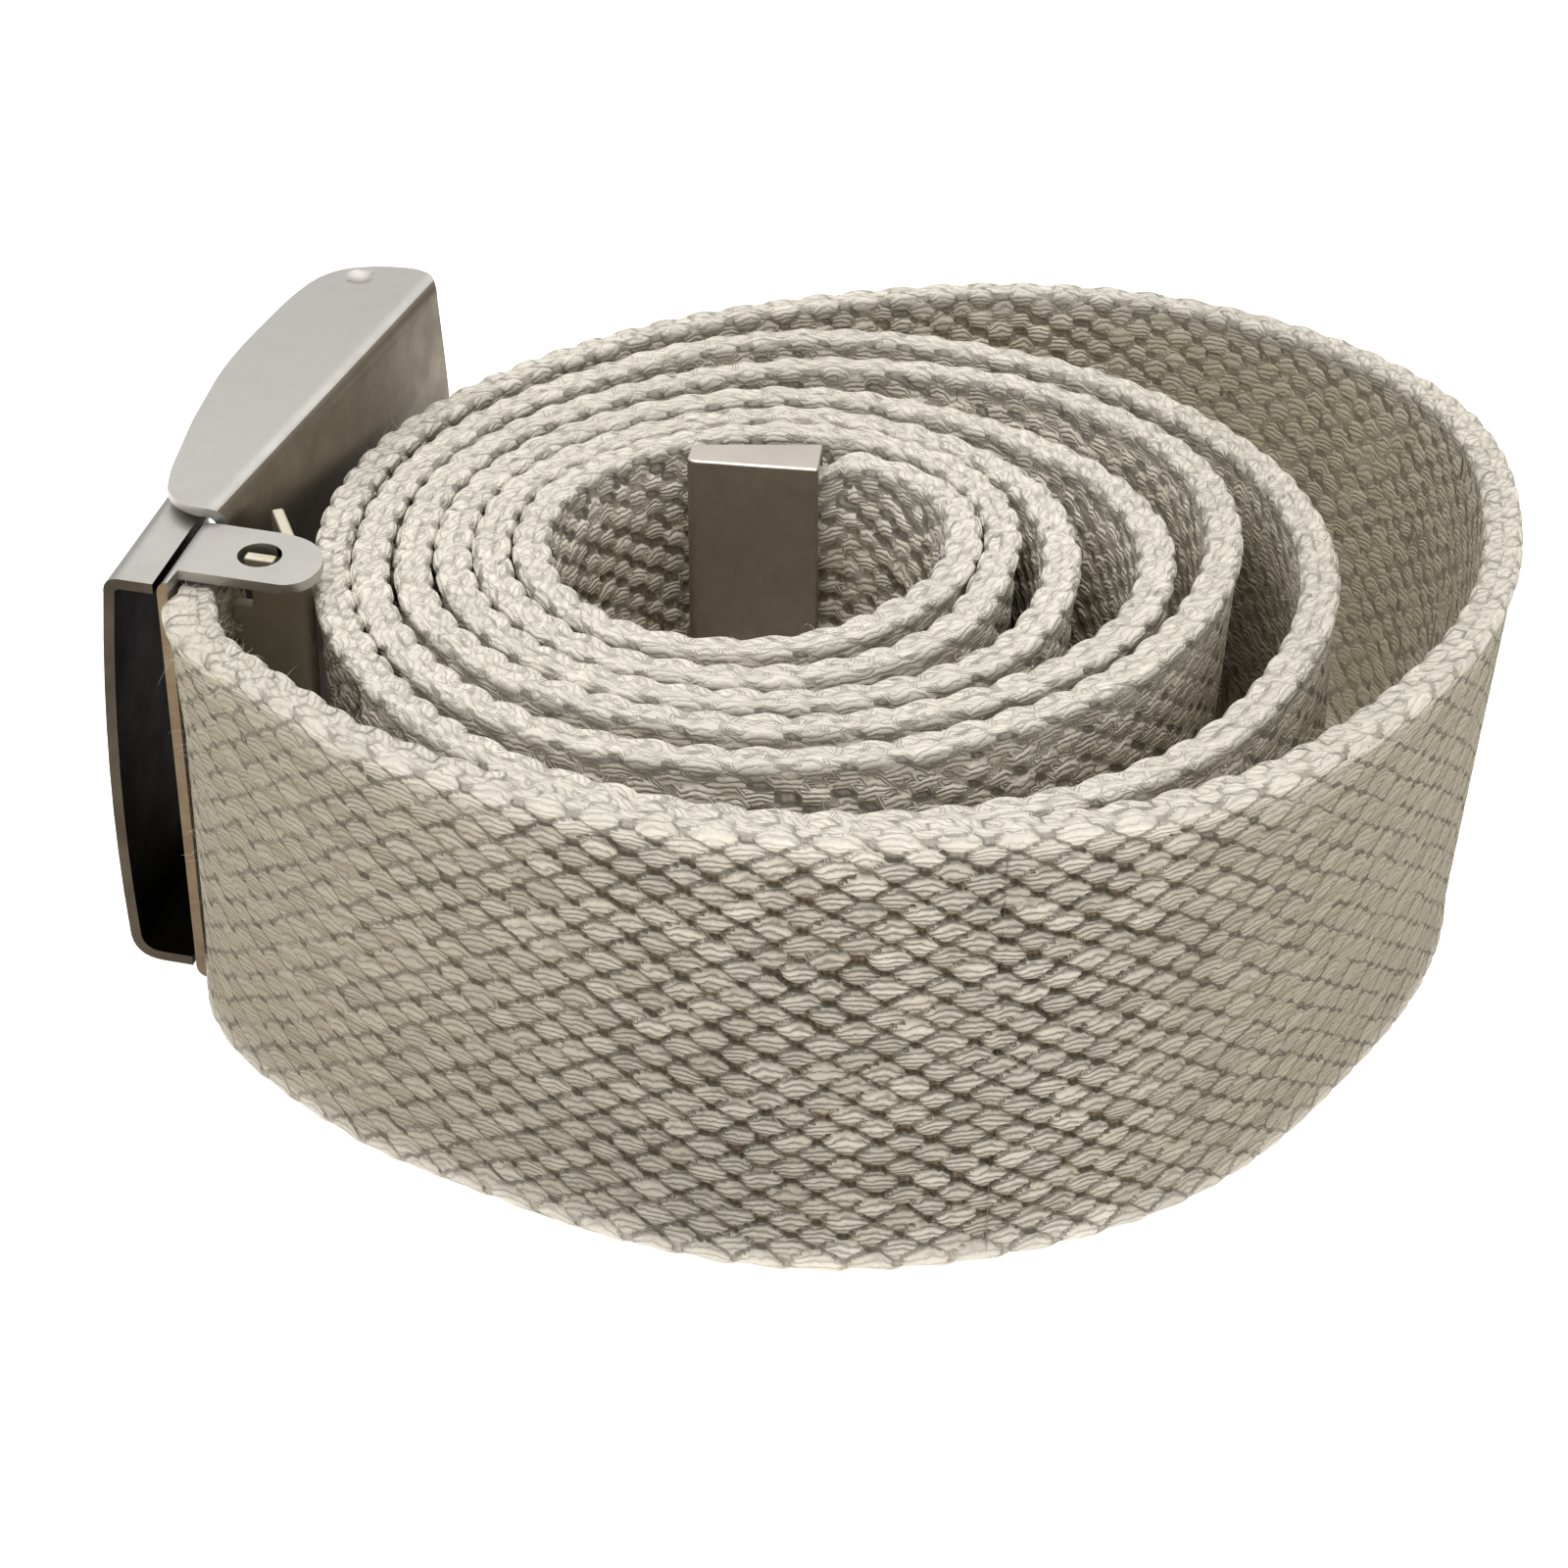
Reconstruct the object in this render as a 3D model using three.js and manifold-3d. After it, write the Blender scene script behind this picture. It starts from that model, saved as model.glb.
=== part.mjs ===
// A web belt with an open flip-top buckle, lying on one edge as a loose coil.
// Millimetres, +Z up. The origin is on the table under the middle of the coil's bounding box.
import * as THREE from 'three';
import { mergeVertices } from 'three/addons/utils/BufferGeometryUtils.js';
import Module from 'manifold-3d';

const wasm = await Module();
wasm.setup();

// Driving sizes of the webbing and its coil
const WEB_WIDTH = 32;
const WEB_THICKNESS = 2.3;
const COIL_CENTRE = new THREE.Vector2(-1.93, -2.54);
const TURN_STEP = 6;

// Driving sizes of the buckle, in its own frame: x towards the coil, y away along the buckle,
// z up from the top face of the back plate
const BUCKLE_CORNER = new THREE.Vector3(-44.57, -14.97, 34.1);
const BUCKLE_YAW = -12.5;
const BUCKLE_PITCH = 7;
const BUCKLE_ROLL = 3;
const SHEET = 0.75;
const GAP = 0.3;
const PLATE_FACE = -0.1;
const PLATE_HEIGHT = 34.05;
const PLATE_FAR = 7.35;
const PIN = { x: -2.1, y: 12, radius: 0.8, shellHole: 1.0, lidHole: 0.86, seat: 0.35 };
const CURVE_SEGMENTS = 8;

const radians = THREE.MathUtils.degToRad;

// A closed geometry as a solid that can be cut and joined
function toSolid(geometry) {
  geometry.deleteAttribute('normal');
  geometry.deleteAttribute('uv');
  const merged = mergeVertices(geometry, 1e-4);
  return new wasm.Manifold(new wasm.Mesh({
    numProp: 3,
    vertProperties: new Float32Array(merged.attributes.position.array),
    triVerts: new Uint32Array(merged.index.array),
  }));
}

function toGeometry(solid) {
  const mesh = solid.getMesh();
  const geometry = new THREE.BufferGeometry();
  geometry.setAttribute('position', new THREE.BufferAttribute(new Float32Array(mesh.vertProperties), 3));
  geometry.setIndex(new THREE.BufferAttribute(new Uint32Array(mesh.triVerts), 1));
  geometry.computeVertexNormals();
  return geometry;
}

// An outline seen from above, carried upwards from one height to another
function planPrism(outline, bottom, top) {
  const geometry = new THREE.ExtrudeGeometry(outline, {
    depth: top - bottom, bevelEnabled: false, curveSegments: CURVE_SEGMENTS,
  });
  geometry.translate(0, 0, bottom);
  return toSolid(geometry);
}

// A cross-section in x and z, carried along y from near to far
function sectionPrism(section, near, far) {
  const geometry = new THREE.ExtrudeGeometry(section, {
    depth: far - near, bevelEnabled: false, curveSegments: CURVE_SEGMENTS,
  });
  geometry.rotateX(Math.PI / 2);
  geometry.translate(0, far, 0);
  return toSolid(geometry);
}

function block(x0, x1, y0, y1, z0, z1) {
  const geometry = new THREE.BoxGeometry(x1 - x0, y1 - y0, z1 - z0);
  geometry.translate((x0 + x1) / 2, (y0 + y1) / 2, (z0 + z1) / 2);
  return toSolid(geometry);
}

// An upright round bar, for the pin and for holes
function upright(x, y, radius, bottom, top) {
  const geometry = new THREE.CylinderGeometry(radius, radius, top - bottom, 24);
  geometry.rotateX(Math.PI / 2);
  geometry.translate(x, y, (bottom + top) / 2);
  return toSolid(geometry);
}

// Sheet bent into a channel: a web whose outer face is at x = face, and a flange at each end that
// reaches the other way along x to the line x = open. The web's foot may stand out by slant, and
// bow swells it outwards.
function channelSection({ face, open, bottom, top, sheet, topBend, bottomBend, slant = 0, bow = 0 }) {
  const side = Math.sign(open - face);
  const head = (depth) => face + side * depth;
  const foot = (depth) => head(depth - slant);
  const belly = (depth) => head(depth - slant / 2 - 2 * bow);
  const middle = (top + bottom) / 2;
  const section = new THREE.Shape();
  section.moveTo(open, top);
  section.lineTo(head(topBend), top);
  section.quadraticCurveTo(head(0), top, head(0), top - topBend);
  section.quadraticCurveTo(belly(0), middle, foot(0), bottom + bottomBend);
  section.quadraticCurveTo(foot(0), bottom, foot(bottomBend), bottom);
  section.lineTo(open, bottom);
  section.lineTo(open, bottom + sheet);
  section.lineTo(foot(bottomBend), bottom + sheet);
  section.quadraticCurveTo(foot(sheet), bottom + sheet, foot(sheet), bottom + bottomBend);
  section.quadraticCurveTo(belly(sheet), middle, head(sheet), top - topBend);
  section.quadraticCurveTo(head(sheet), top - sheet, head(topBend), top - sheet);
  section.lineTo(open, top - sheet);
  section.closePath();
  return section;
}

// The buckle's frame, which also sets how the webbing runs inside it
const buckle = new THREE.Group();
buckle.position.copy(BUCKLE_CORNER);
buckle.rotation.set(radians(BUCKLE_PITCH), radians(BUCKLE_ROLL), radians(BUCKLE_YAW), 'ZXY');
buckle.updateMatrixWorld();

// Loop shell: the outer wall and the top and bottom of the box that the belt's end runs through
const SHELL = {
  face: -4, seam: PLATE_FACE - GAP, near: -0.4, top: -0.35, bottom: -33.2, sheet: 0.8,
  topBend: 1.3, bottomBend: 2.4, slant: 1, bow: 0.6,
};

function loopShell() {
  const section = channelSection({ ...SHELL, open: SHELL.seam });
  const lugRadius = SHELL.seam - PIN.x;
  const outside = SHELL.face - 4;
  const below = SHELL.bottom - 1;
  const above = SHELL.top + 1;
  const plan = new THREE.Shape();
  plan.moveTo(outside, SHELL.near);
  plan.lineTo(SHELL.seam, SHELL.near);
  plan.lineTo(SHELL.seam, PIN.y);
  plan.absarc(PIN.x, PIN.y, lugRadius, 0, Math.PI / 2, false);
  plan.lineTo(outside, PIN.y);
  plan.closePath();
  return sectionPrism(section, SHELL.near - 1, PIN.y + lugRadius + 1)
    .intersect(planPrism(plan, below, above))
    .subtract(upright(PIN.x, PIN.y, PIN.shellHole, below, above));
}

// Back plate: stands against the webbing, with a rounded, pierced ear bent over at each end
const PLATE = { near: -0.5, inner: PLATE_FACE + SHEET, bend: 1.05 };
const EAR = {
  near: 1.15, tip: 9.95, tipY: 3.9, far: 7.35, round: 3.8, holeX: 5.47, holeY: 4.32, holeRadius: 1.52,
};

function backPlate() {
  const section = channelSection({
    face: PLATE_FACE, open: EAR.tip + 1, bottom: -PLATE_HEIGHT, top: 0,
    sheet: SHEET, topBend: PLATE.bend, bottomBend: PLATE.bend,
  });
  const outside = PLATE_FACE - 1;
  const below = -PLATE_HEIGHT - 1;
  const above = 1;
  const plan = new THREE.Shape();
  plan.moveTo(outside, PLATE.near);
  plan.lineTo(PLATE.inner + 0.05, PLATE.near);
  plan.lineTo(PLATE.inner + 0.2, EAR.near);
  plan.lineTo(EAR.tip - EAR.round / 2, EAR.near);
  plan.quadraticCurveTo(EAR.tip - 0.1, EAR.near + 0.4, EAR.tip, EAR.tipY);
  plan.quadraticCurveTo(EAR.tip - 0.3, EAR.far - 0.25, EAR.tip - EAR.round, EAR.far);
  plan.lineTo(PLATE.inner + 0.8, EAR.far + 0.05);
  plan.lineTo(outside, PLATE_FAR);
  plan.closePath();
  return sectionPrism(section, PLATE.near - 1, PLATE_FAR + 1)
    .intersect(planPrism(plan, below, above))
    .subtract(upright(EAR.holeX, EAR.holeY, EAR.holeRadius, below, above));
}

// A strip of sheet bent to a V, seen edge on: the outer side follows the rounded bend, and the inner
// sides of the two legs meet in a corner
function bentStrip(start, bend, end, width) {
  const line = [start, ...bend, end];
  const beside = (from, to, at, distance) => {
    const along = to.clone().sub(from).normalize();
    return at.clone().add(new THREE.Vector2(-along.y, along.x).multiplyScalar(distance));
  };
  const outer = line.map((point, i) => beside(
    line[Math.max(i - 1, 0)], line[Math.min(i + 1, line.length - 1)], point, -width / 2));
  const innerStart = beside(start, bend[0], start, width / 2);
  const innerEnd = beside(bend[bend.length - 1], end, end, width / 2);
  const nearLeg = bend[0].clone().sub(start);
  const farLeg = end.clone().sub(bend[bend.length - 1]);
  const reach = innerEnd.clone().sub(innerStart).cross(farLeg) / nearLeg.cross(farLeg);
  const corner = innerStart.clone().addScaledVector(nearLeg, reach);
  return new THREE.Shape([...outer, innerEnd, corner, innerStart]);
}

// Clamp lever: one sheet bent to a V, toothed where it bites the webbing, with tabs in the ears' holes
const LEVER = {
  teeth: 3.3, leg: 4.4, bend: 9.15, endX: 3.9, endY: 11.95, sheet: 0.9, top: -SHEET - GAP, height: 31.95,
};
const LEVER_NOTCH = { width: 1.5, depth: 2.9 };
const LEVER_TOOTH = { pitch: 1.6, depth: 0.6, gap: 0.7 };
const LEVER_TAB = { half: 1.1, root: 0.5, short: 0.15 };

function clampLever() {
  const bottom = LEVER.top - LEVER.height;
  const nearLeg = new THREE.Vector2(LEVER.bend - 1.5, LEVER.leg);
  const farLeg = new THREE.Vector2(LEVER.bend - 1.2, LEVER.leg + 0.95);
  const bend = new THREE.QuadraticBezierCurve(nearLeg, new THREE.Vector2(LEVER.bend, LEVER.leg), farLeg);
  const start = new THREE.Vector2(LEVER.teeth, LEVER.leg);
  const end = new THREE.Vector2(LEVER.endX, LEVER.endY);
  const outline = bentStrip(start, bend.getPoints(CURVE_SEGMENTS), end, LEVER.sheet);
  let lever = planPrism(outline, bottom, LEVER.top);

  const outside = LEVER.teeth - 1;
  const legNear = LEVER.leg - LEVER.sheet;
  const legFar = LEVER.leg + LEVER.sheet;
  const notchTop = LEVER.top - LEVER_NOTCH.depth;
  const notchBottom = bottom + LEVER_NOTCH.depth;
  for (const [z0, z1] of [[notchTop, LEVER.top + 1], [bottom - 1, notchBottom]]) {
    lever = lever.subtract(block(outside, LEVER.teeth + LEVER_NOTCH.width, legNear, legFar, z0, z1));
  }
  for (let z = notchBottom + LEVER_TOOTH.pitch; z < notchTop - LEVER_TOOTH.pitch; z += LEVER_TOOTH.pitch) {
    lever = lever.subtract(
      block(outside, LEVER.teeth + LEVER_TOOTH.depth, legNear, legFar, z, z + LEVER_TOOTH.gap));
  }
  const rise = SHEET + GAP - LEVER_TAB.short;
  const { half, root } = LEVER_TAB;
  const tabNear = LEVER.leg - LEVER.sheet / 2;
  const tabFar = LEVER.leg + LEVER.sheet / 2;
  for (const [z0, z1] of [[LEVER.top - root, LEVER.top + rise], [bottom - rise, bottom + root]]) {
    lever = lever.add(block(EAR.holeX - half, EAR.holeX + half, tabNear, tabFar, z0, z1));
  }
  return lever;
}

// Lid: the flip-top cover, a channel whose two flanges swell to a rounded outline.
// It is made in its own frame: y along its web's outer face, flanges towards -x.
const LID = {
  x: 1.86, y: 7.95, turn: -6.5, sheet: 0.7, rise: 1, bend: 1.5, deepest: 11,
  far: 35.4, shoulder: 36.7, bulge: 37.3,
};
const LID_TOP = LID.rise;
const LID_BOTTOM = -PLATE_HEIGHT - LID.rise;
const LID_DIMPLE = { x: -5.92, y: 34.15, radius: 1.25, ball: 2.5 };
// The flange's edge, from the hinge end's near corner round to the web's far end
const LID_NEAR_EDGE = [[0, 0], [-0.9, -0.45], [-2.2, -0.65], [-3.9, -0.1], [-5, 0.9]];
const LID_LONG_EDGE = [
  [-5, 0.9], [-5.9, 3.2], [-6.8, 6.5], [-7.65, 9.8], [-8.15, 12.3], [-8.9, 16.2], [-9.25, 19.3],
  [-9.4, 22.85], [-9.4, 27.8], [-9.2, 30.8], [-8.7, 33.1], [-7.55, 34.9], [-5.67, 36.1], [-3.91, 36.7],
  [-2.37, 36.9], [-1.0, 36.5], [0, LID.far],
];

const toVector = ([x, y]) => new THREE.Vector2(x, y);

function lid() {
  const section = channelSection({
    face: 0, open: -LID.deepest, bottom: LID_BOTTOM, top: LID_TOP, sheet: LID.sheet,
    topBend: LID.bend, bottomBend: LID.bend,
  });
  const flange = new THREE.Shape();
  flange.moveTo(0.5, 0);
  flange.lineTo(0, 0);
  flange.splineThru(LID_NEAR_EDGE.slice(1).map(toVector));
  flange.splineThru(LID_LONG_EDGE.slice(1).map(toVector));
  flange.lineTo(0.5, LID.far);
  flange.closePath();
  const below = LID_BOTTOM - 1;
  const above = LID_TOP + 1;
  const channel = sectionPrism(section, -2, LID.bulge).intersect(planPrism(flange, below, above));

  // The web's far edge swells beyond the flanges in its own plane
  const webTop = LID_TOP - LID.bend;
  const webBottom = LID_BOTTOM + LID.bend;
  const quarter = (webTop - webBottom) / 4;
  const web = new THREE.Shape();
  web.moveTo(LID.far - 4, webBottom);
  web.lineTo(LID.far, webBottom);
  web.splineThru([
    [LID.shoulder, webBottom + quarter], [LID.bulge, webBottom + 2 * quarter],
    [LID.shoulder, webTop - quarter], [LID.far, webTop],
  ].map(toVector));
  web.lineTo(LID.far - 4, webTop);
  web.closePath();
  const tongue = new THREE.ExtrudeGeometry(web, {
    depth: LID.sheet, bevelEnabled: false, curveSegments: CURVE_SEGMENTS,
  });
  tongue.applyMatrix4(new THREE.Matrix4().makeBasis(
    new THREE.Vector3(0, 1, 0), new THREE.Vector3(0, 0, 1), new THREE.Vector3(1, 0, 0)));
  tongue.translate(-LID.sheet, 0, 0);

  const hole = new THREE.Vector2(PIN.x - LID.x, PIN.y - LID.y)
    .rotateAround(new THREE.Vector2(), -radians(LID.turn));
  const holeBottom = LID_BOTTOM + LID.sheet - PIN.seat;
  const holeTop = LID_TOP - LID.sheet + PIN.seat;
  const dimple = new THREE.SphereGeometry(LID_DIMPLE.ball, 24, 16);
  const dimpleHeight = Math.sqrt(LID_DIMPLE.ball ** 2 - LID_DIMPLE.radius ** 2);
  dimple.translate(LID_DIMPLE.x, LID_DIMPLE.y, LID_TOP + dimpleHeight);
  return channel.add(toSolid(tongue))
    .subtract(upright(hole.x, hole.y, PIN.lidHole, holeBottom, holeTop))
    .subtract(toSolid(dimple));
}

function lidPin() {
  const seat = PIN.seat - 0.1;
  return upright(PIN.x, PIN.y, PIN.radius, LID_BOTTOM + LID.sheet - seat, LID_TOP - LID.sheet + seat);
}

// Tip cap: a pressed metal sleeve on the free end, a little wider at its mouth than at its closed end.
// It is made in its own frame: x from the mouth to the closed end.
const TIP = {
  mouth: new THREE.Vector2(-0.23, 10.06), turn: 175, length: 9.8, wall: 0.6, bottom: 0.05, top: 32.2,
};
const TIP_SIDES = { mouthInner: 2.5, endInner: 1.7, mouthOuter: -2.4, endOuter: -1.6, corner: 0.9 };

// The sleeve's plan, pulled in by a margin; the mouth end runs past the sleeve by an overrun
function tipPlan(margin, overrun) {
  const mouthX = -overrun;
  const endX = TIP.length - margin;
  const inner = TIP_SIDES.endInner - margin;
  const outer = TIP_SIDES.endOuter + margin;
  const corner = Math.max(TIP_SIDES.corner - margin, 0.3);
  const plan = new THREE.Shape();
  plan.moveTo(mouthX, TIP_SIDES.mouthOuter + margin);
  plan.lineTo(endX - corner, outer);
  plan.quadraticCurveTo(endX, outer, endX, outer + corner);
  plan.lineTo(endX, inner - corner);
  plan.quadraticCurveTo(endX, inner, endX - corner, inner);
  plan.lineTo(mouthX, TIP_SIDES.mouthInner - margin);
  plan.closePath();
  return plan;
}

function tipCap() {
  return planPrism(tipPlan(0, 0), TIP.bottom, TIP.top)
    .subtract(planPrism(tipPlan(TIP.wall, 1), TIP.bottom + TIP.wall, TIP.top - TIP.wall));
}

// The coil, seen from above: distance of the webbing's upper edge from the coil's centre,
// one row for each turn from the outside in, one column for each 30 degrees
const COLUMNS = [-150, -120, -90, -60, -30, 0, 30, 60, 90, 120, 150, 180];
const TURNS = [
  [42.5, 42.7, 44.15, 46.1, 46.4, 49.7, 55.8, 55.1, 45.8, 38.5, 34.4, 32.6],
  [34.0, 38.0, 41.3, 41.1, 37.6, 36.1, 36.5, 37.9, 38.5, 33.8, 30.9, 29.8],
  [31.2, 33.4, 33.3, 31.0, 29.5, 30.0, 32.0, 33.0, 32.0, 29.4, 27.8, 26.9],
  [28.0, 28.9, 28.9, 27.4, 26.1, 24.9, 24.1, 24.4, 26.0, 25.4, 24.6, 24.2],
  [24.9, 25.9, 25.4, 23.4, 20.0, 18.3, 18.6, 19.9, 22.0, 21.9, 21.7, 21.5],
  [22.1, 22.8, 21.8, 18.5, 15.1, 14.45, 15.4, 17.2, 18.8, 19.0, 18.9, 18.7],
  [19.2, 19.4, 17.4, 13.9, 12.2, 11.7, 12.5, 13.4, 13.9],
];
// How far the lower edge stands inside the upper one, in the same columns: in the outermost turn,
// in the second, and in all the others
const OUTER_LEAN = [-0.2, 1.7, 0.55, 2.6, 3.9, 2.6, 2.45, 1.25, 0.7, 0.5, 0.7, 1.1];
const SECOND_LEAN = [1.4, 1.4, 0.7, 1.9, 0.6, -0.6, 0.4, 0.8, 0.5, 0.5, 0.7, 1.1];
const LEAN = [1.4, 1.4, 0.7, 1.9, 2.4, 2.0, 1.3, 0.8, 0.5, 0.5, 0.7, 1.1];
// How high the outermost turn is still held off the table by the buckle, in the same columns
const RISE = [1.35, 1.3, 1.15, 0.7, 0.35, 0.1, 0, 0, 0, 0, 0, 0];

// The bend out of the buckle: where the webbing's upper edge runs before the whole columns
const LEAD_IN = [
  { angle: -160, radius: 42.5 },
  { angle: -156, radius: 43.0 },
  { angle: -152, radius: 43.0 },
  { angle: -148, radius: 42.7 },
  { angle: -144, radius: 42.4 },
  { angle: -140, radius: 42.25 },
  { angle: -136, radius: 42.25 },
];
const COIL_START = -132;
const COIL_END = 6 * 360 + 72;

// A smooth curve through table values that stand 30 degrees apart
function columnCurve(values) {
  const knots = values.map((value, i) => new THREE.Vector2(COLUMNS[0] + 30 * i, value));
  const curve = new THREE.SplineCurve(knots);
  const share = (angle) => (angle - COLUMNS[0]) / 30 / (values.length - 1);
  return (angle) => curve.getPoint(THREE.MathUtils.clamp(share(angle), 0, 1)).y;
}
const radiusAt = columnCurve(TURNS.flat());
const leanAt = columnCurve(TURNS.flatMap((turn, i) => [OUTER_LEAN, SECOND_LEAN][i] ?? LEAN));
const riseCurve = columnCurve(RISE);
const riseAt = (angle) => Math.max(0, riseCurve(angle));

function onCoil(angle, radius, height) {
  const turn = radians(angle);
  return new THREE.Vector3(
    COIL_CENTRE.x + radius * Math.cos(turn), COIL_CENTRE.y + radius * Math.sin(turn), height);
}

// Stations along the webbing, from the end held in the buckle to the end in the tip cap.
// Each has the middle of the upper and of the lower edge, and the thickness there.
function webbingStations() {
  const stations = [];
  const add = (top, bottom, thickness = WEB_THICKNESS) => stations.push({ top, bottom, thickness });

  // Held flat between the back plate and the clamp lever
  const held = { x: 1.98, top: -1.1, thickness: 2.1, ys: [7.3, 5.5, 3.6, 1.8] };
  const heldAcross = new THREE.Vector3(1, 0, 0).applyQuaternion(buckle.quaternion);
  const heldUp = new THREE.Vector3(0, 0, 1).applyQuaternion(buckle.quaternion);
  for (const y of held.ys) {
    const top = new THREE.Vector3(held.x, y, held.top).applyMatrix4(buckle.matrixWorld);
    const bottom = top.clone().addScaledVector(heldUp, -WEB_WIDTH);
    stations.push({ top, bottom, thickness: held.thickness, across: heldAcross });
  }

  // Turns upright as it leaves the buckle, so at first its lower edge trails its upper one
  const settled = { angle: -132, span: 31 };
  for (const { angle, radius } of LEAD_IN) {
    const hold = ((settled.angle - angle) / settled.span) ** 2;
    const up = onCoil(angle, leanAt(angle), WEB_WIDTH).sub(onCoil(angle, 0, 0)).normalize();
    up.lerp(heldUp, hold).normalize();
    const rise = riseAt(angle);
    const top = onCoil(angle, radius, rise + WEB_WIDTH * up.z);
    add(top, top.clone().addScaledVector(up, -WEB_WIDTH));
  }
  for (let angle = COIL_START; angle <= COIL_END; angle += TURN_STEP) {
    const radius = radiusAt(angle);
    const rise = riseAt(angle);
    add(onCoil(angle, radius, rise + WEB_WIDTH), onCoil(angle, radius - leanAt(angle), rise));
  }

  // Pressed thinner and narrower as it enters the tip cap, in the cap's frame
  const tipRun = [
    { x: -2.0, y: -0.45, margin: 0, thickness: 2.2 },
    { x: -0.5, y: -0.5, margin: 0.85, thickness: 1.9 },
    { x: 4.0, y: -0.25, margin: 0.9, thickness: 1.8 },
    { x: TIP.length - TIP.wall - GAP, y: 0.05, margin: 0.9, thickness: 1.6 },
  ];
  for (const { x, y, margin, thickness } of tipRun) {
    const place = new THREE.Vector2(x, y)
      .rotateAround(new THREE.Vector2(), radians(TIP.turn))
      .add(TIP.mouth);
    add(new THREE.Vector3(place.x, place.y, WEB_WIDTH - margin),
      new THREE.Vector3(place.x, place.y, margin), thickness);
  }
  return stations;
}

// A straight strap, cut into one length for each pair of stations, then laid along them
function webbing() {
  const stations = webbingStations();
  const last = stations.length - 1;
  const up = new THREE.Vector3(0, 0, 1);
  const across = stations.map((station, i) => {
    const along = stations[Math.min(i + 1, last)].top.clone().sub(stations[Math.max(i - 1, 0)].top);
    return station.across ?? up.clone().cross(along).normalize();
  });
  const strap = new THREE.BoxGeometry(1, 1, 1, last, 1, 1);
  const position = strap.attributes.position;
  for (let i = 0; i < position.count; i += 1) {
    const index = Math.round((position.getX(i) + 0.5) * last);
    const { top, bottom, thickness } = stations[index];
    const edge = position.getZ(i) > 0 ? top : bottom;
    const point = edge.clone().addScaledVector(across[index], position.getY(i) * thickness);
    position.setXYZ(i, point.x, point.y, point.z);
  }
  return toSolid(strap);
}

function piece(name, solid, colour, roughness, metalness) {
  const material = new THREE.MeshStandardMaterial({ color: colour, roughness, metalness });
  const mesh = new THREE.Mesh(toGeometry(solid), material);
  mesh.name = name;
  return mesh;
}

const belt = new THREE.Group();
belt.add(piece('webbing', webbing(), '#cfc8b2', 0.95, 0));

const tipCapMesh = piece('tip_cap', tipCap(), '#8d847a', 0.42, 1);
tipCapMesh.position.set(TIP.mouth.x, TIP.mouth.y, 0);
tipCapMesh.rotation.z = radians(TIP.turn);
belt.add(tipCapMesh);

const lidMesh = piece('lid', lid(), '#b9b6ae', 0.4, 1);
lidMesh.position.set(LID.x, LID.y, 0);
lidMesh.rotation.z = radians(LID.turn);
buckle.add(
  piece('loop_shell', loopShell(), '#b5b1a8', 0.38, 1),
  piece('back_plate', backPlate(), '#b9b6ae', 0.36, 1),
  piece('clamp_lever', clampLever(), '#8f8a82', 0.45, 1),
  piece('lid_pin', lidPin(), '#9a958c', 0.4, 1),
  lidMesh,
);
belt.add(buckle);

export default belt;
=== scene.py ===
"""A web belt with an open flip-top buckle, lying on one edge as a loose coil."""
from math import radians

import bmesh
import bpy
import numpy as np
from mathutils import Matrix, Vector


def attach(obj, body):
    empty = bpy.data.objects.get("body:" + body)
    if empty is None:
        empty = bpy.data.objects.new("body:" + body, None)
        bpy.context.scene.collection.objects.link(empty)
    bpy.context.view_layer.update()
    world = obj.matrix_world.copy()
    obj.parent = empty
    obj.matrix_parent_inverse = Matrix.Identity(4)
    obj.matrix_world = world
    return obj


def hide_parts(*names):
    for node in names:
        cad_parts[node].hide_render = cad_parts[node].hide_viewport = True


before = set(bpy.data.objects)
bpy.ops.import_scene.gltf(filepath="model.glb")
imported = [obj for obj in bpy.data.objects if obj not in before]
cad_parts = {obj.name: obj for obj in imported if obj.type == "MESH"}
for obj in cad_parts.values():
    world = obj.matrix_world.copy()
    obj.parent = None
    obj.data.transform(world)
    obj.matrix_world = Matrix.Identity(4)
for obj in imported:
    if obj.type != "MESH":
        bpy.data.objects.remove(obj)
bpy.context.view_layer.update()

# The webbing: one undyed cotton strap, woven about 2.3 mm thick from soft plied yarn, so that its
# faces are rows of plump grains with dark pits between them and its edges are rolled selvedges.
# One end is held in the buckle and the rest lies on its edge in a loose coil.

MM = 0.001
WEB_WIDTH = 32.0
WEB_THICKNESS = 2.3
COIL_CENTRE = np.array([-1.93, -2.54])

# The buckle's own frame: x towards the coil, y away along the buckle, z up
BUCKLE_CORNER = np.array([-44.57, -14.97, 34.1])
BUCKLE_YAW, BUCKLE_PITCH, BUCKLE_ROLL = radians(-12.5), radians(7), radians(3)


def turned(axis, angle):
    """The matrix of a turn by angle about the x, y or z axis (0, 1 or 2)."""
    a, b = (axis + 1) % 3, (axis + 2) % 3
    matrix = np.eye(3)
    matrix[a, a] = matrix[b, b] = np.cos(angle)
    matrix[b, a] = np.sin(angle)
    matrix[a, b] = -np.sin(angle)
    return matrix


BUCKLE_TURN = turned(2, BUCKLE_YAW) @ turned(0, BUCKLE_PITCH) @ turned(1, BUCKLE_ROLL)

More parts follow.
